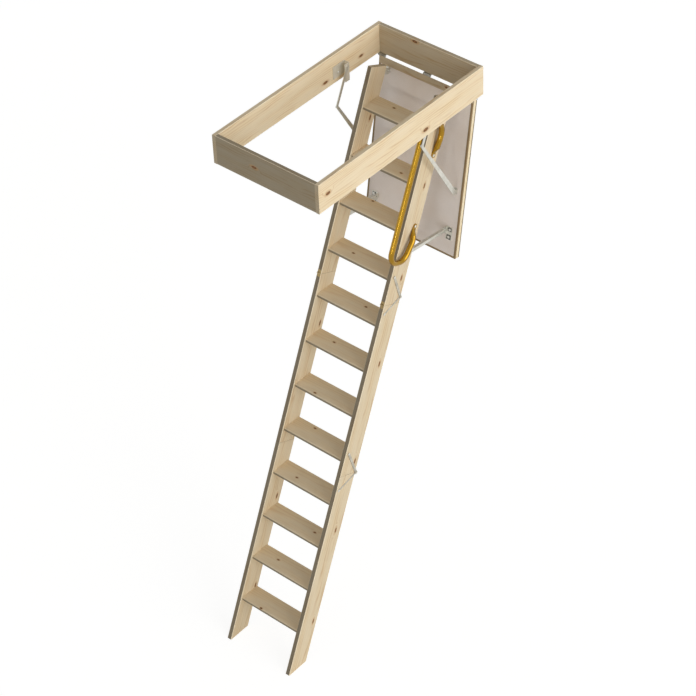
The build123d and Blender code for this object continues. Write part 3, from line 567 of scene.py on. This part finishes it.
# Blackened square plates with rounded corners, and a pan-head bolt through each
plates = []
plate_thickness = 1.5
for plate_name, plate_side, plate_x, plate_down in (("low", 24, 223.5, 743.0), ("high", 19, 226.5, 703.0)):
    bpy.ops.object.select_all(action="DESELECT")
    bpy.ops.mesh.primitive_cube_add(size=1, location=(0, 0, plate_thickness * mm / 2))
    plate = bpy.context.object
    plate.scale = (plate_side * mm, plate_side * mm, plate_thickness * mm)
    bpy.ops.object.transform_apply(location=True, rotation=False, scale=True)
    rounding = plate.modifiers.new("rounded_corners", "BEVEL")
    rounding.width = 0.5 * mm
    rounding.segments = 2
    bpy.ops.object.modifier_apply(modifier=rounding.name)
    flat_selected(plate, lambda centre, normal: False)
    finish_model(plate, f"black_plate_{plate_name}")
    plates.append(plate)
    for side, sign in (("left", -1), ("right", 1)):
        place_copy(plate, f"strut_black_plate_{plate_name}_{side}",
                   on_hatch(sign * plate_x, plate_down, bracket_face),
                   hatch_out, upper_body, black_steel)
        place_copy(pan_bolt, f"strut_plate_bolt_{plate_name}_{side}",
                   on_hatch(sign * plate_x, plate_down, bracket_face + plate_thickness),
                   hatch_out, upper_body, bolt_steel)
for side, sign in (("left", -1), ("right", 1)):
    place_copy(pan_bolt, f"top_plate_bolt_{side}", on_hatch(sign * 225.0, 51.0, bracket_face),
               hatch_out, upper_body, bolt_steel)

# Ladder: planed pine stringers in three sections, and twelve treads let into them. The narrow edges
# of the stringers and the treads are painted darker, as painted shade on the faces turned from the light.
up_ladder = (Matrix.Rotation(ladder_lean, 3, "X") @ Matrix.Rotation(math.pi / 2, 3, "Z")).to_euler("XYZ")
ladder_length = 2975.6
half_depth = 57.0
stringer_middle = 189.9
# The edge shade of the stringers paints their front and back edges darker, as painted shade
for section, low, high, side, sign, pith, knots in (
    ("lower", 0.0, lower_joint, "left", -1, (-58.0, -56.0), ((285, 92), (782, 86))),
    ("lower", 0.0, lower_joint, "right", 1, (58.0, -52.0), ((282, 86), (784, 76))),
    ("middle", lower_joint, upper_joint, "left", -1, (-64.0, 50.0), ((1700, 88),)),
    ("middle", lower_joint, upper_joint, "right", 1, (66.0, -74.0), ((1151, 87), (1658, 82))),
    ("upper", upper_joint, ladder_length, "left", -1, (-52.0, -40.0), ((2729, 82),)),
    ("upper", upper_joint, ladder_length, "right", 1, (70.0, 56.0), ((2092, 80), (2546, 73))),
):
    board_name = f"stringer_{section}_{side}"
    board_middle = (low + high) / 2
    board_knots = [(up - board_middle, half_depth - depth, 28.0, 10.0) for up, depth in knots]
    dress(board_name, pine_board("planed_pine_" + board_name,
                                 on_ladder(sign * stringer_middle, board_middle, half_depth),
                                 up_ladder, pith, board_knots, tone=0.87, edge_shade=0.36,
                                 half_width=half_depth))

# The edge shade of the treads paints their front and back edges darker, as painted shade
tread_half_depth = 53.0
across_tread = Matrix.Rotation(math.pi / 2, 3, "X").to_euler("XYZ")
for number, knot_x, knot_back in (
    (12, -61, 77), (11, 90, 30), (10, -62, 98), (9, -64, 45), (8, 60, 70), (7, -61, 67),
    (6, -63, 12), (5, -61, 90), (4, -62, 38), (3, 100, 60), (2, -64, 60), (1, -60, 6),
):
    board_name = f"tread_{number:02d}"
    knots = ((knot_x, tread_half_depth - knot_back, 14.0, 8.0),)
    pith = (38.0 + 7 * (number % 4), 25.0 - 11.0 * (number % 5))
    dress(board_name, pine_board("planed_pine_" + board_name, middle_of(board_name), across_tread, pith,
                                 knots, tone=0.92, edge_shade=0.38, figure=0.25, arris_highlight=0.0))

# Joint hardware: small hinges let into the front edges and flat straps on the outer faces. The
# hinges are yellow-passivated, close to the wood's colour, and the straps are bare zinc.
hinge_brass = plated_steel("yellow_passivated_hinge", "B29C6C", "8F7B52", 0.45, 0.7)
dress("fold_hinges_upper", hinge_brass)
dress("fold_hinges_middle", hinge_brass)
strap_steel = plated_steel("zinc_plated_strap", "CFC9BA", "A8A294", 0.4, 0.75)
for node_name in ("catch_straps_upper", "catch_straps_middle", "hinge_straps_middle", "hinge_straps_lower"):
    dress(node_name, strap_steel)

strap_face = stringer_outer + 4.0
inner_strap_face = stringer_outer + 1.6
for side, sign in (("left", -1), ("right", 1)):
    for name, up, depth, x, body in (
        ("catch_strap_bolt_high", upper_joint + 141.0, 19.0, strap_face, upper_body),
        ("catch_strap_bolt_low", upper_joint - 43.0, 16.0, inner_strap_face, middle_body),
        ("hinge_strap_bolt_high", lower_joint + 119.0, 18.0, strap_face, middle_body),
        ("hinge_strap_bolt_low", lower_joint - 75.0, 14.0, inner_strap_face, lower_body),
    ):
        place_copy(pan_bolt, f"{name}_{side}", on_ladder(sign * x, up, depth), (sign, 0, 0),
                   body, bolt_steel)
    for name, direction, body in (("upper", 1, upper_body), ("middle", -1, middle_body)):
        for column, x in (("a", 185.0), ("b", 194.8)):
            place_copy(screw, f"fold_hinge_screw_{name}_{column}_{side}",
                       on_ladder(sign * x, upper_joint + direction * 10.5, 0.0), -ladder_in,
                       body, hinge_brass)

# Handrail: a bent steel tube in golden lacquer, with flattened ends bolted to the right stringer.
# The metal under the lacquer gives it a deep gold with a narrow bright line along the tube.
golden = bpy.data.materials.new("golden_lacquered_tube")
golden.use_nodes = True
place = add_node(golden, "ShaderNodeTexCoord")
drift = add_node(golden, "ShaderNodeTexNoise", {},
                 {"Vector": place.outputs["Object"], "Scale": 1 / (60 * mm), "Detail": 3.0})
orange_peel = add_node(golden, "ShaderNodeTexNoise", {},
                       {"Vector": place.outputs["Object"], "Scale": 1 / (3 * mm), "Detail": 2.0})
tone = add_node(golden, "ShaderNodeMix", {"data_type": "RGBA"},
                {0: drift.outputs["Fac"], 6: linear("B28A24"), 7: linear("926C16")})
shader = golden.node_tree.nodes["Principled BSDF"]
golden.node_tree.links.new(tone.outputs[2], shader.inputs["Base Color"])
shader.inputs["Metallic"].default_value = 0.9
shader.inputs["Roughness"].default_value = 0.2
shader.inputs["Coat Weight"].default_value = 0.12
shader.inputs["Coat Roughness"].default_value = 0.12
bump = add_node(golden, "ShaderNodeBump", {},
                {"Height": orange_peel.outputs["Fac"], "Strength": 0.03, "Distance": 0.1 * mm})
golden.node_tree.links.new(bump.outputs[0], shader.inputs["Normal"])
dress("handrail", golden)
for name, up, depth in (("low", upper_joint + 385.6, 78.0), ("high", 2692.6, 77.0)):
    place_copy(pan_bolt, f"handrail_bolt_{name}", on_ladder(stringer_outer + 5.0, up, depth), (1, 0, 0),
               upper_body, bolt_steel)

# The models that the copies were made from are taken away
for model in (screw, pan_bolt, hex_bolt, *plates):
    bpy.data.objects.remove(model)
